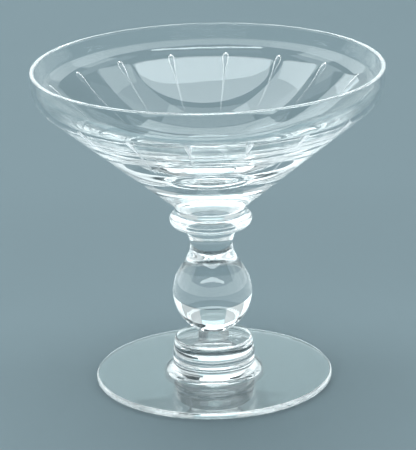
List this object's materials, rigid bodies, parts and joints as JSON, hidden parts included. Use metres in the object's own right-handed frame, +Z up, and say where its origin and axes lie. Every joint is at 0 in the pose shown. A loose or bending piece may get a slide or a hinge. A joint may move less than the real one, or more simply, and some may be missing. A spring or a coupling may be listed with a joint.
{
  "type": "sherbet glass",
  "caption": "Footed sherbet glass in clear crystal: wide cone-shaped bowl with cut comets, egg-shaped knop between wafers, flat round foot.",
  "frame": {"origin": "centre of the foot's flat underside, on the table", "axes": "+Z up along the axis that every piece is turned about, -Y towards the viewer"},
  "size_m": [0.107, 0.107, 0.1],
  "materials": {
    "cut_crystal": "clear crystal, fire-polished rim, matt cut comets on the outside",
    "stem_crystal": "clear crystal, fire-polished",
    "foot_crystal": "clear crystal, fire-polished edge, ground underside"
  },
  "bodies": {
    "root": {"bowl": "cut_crystal", "neck_ring": "stem_crystal", "upper_merese": "stem_crystal", "small_wafer": "stem_crystal", "stem_knop": "stem_crystal", "lower_disc": "stem_crystal", "foot_pad": "stem_crystal", "foot": "foot_crystal"}
  },
  "joints": []
}
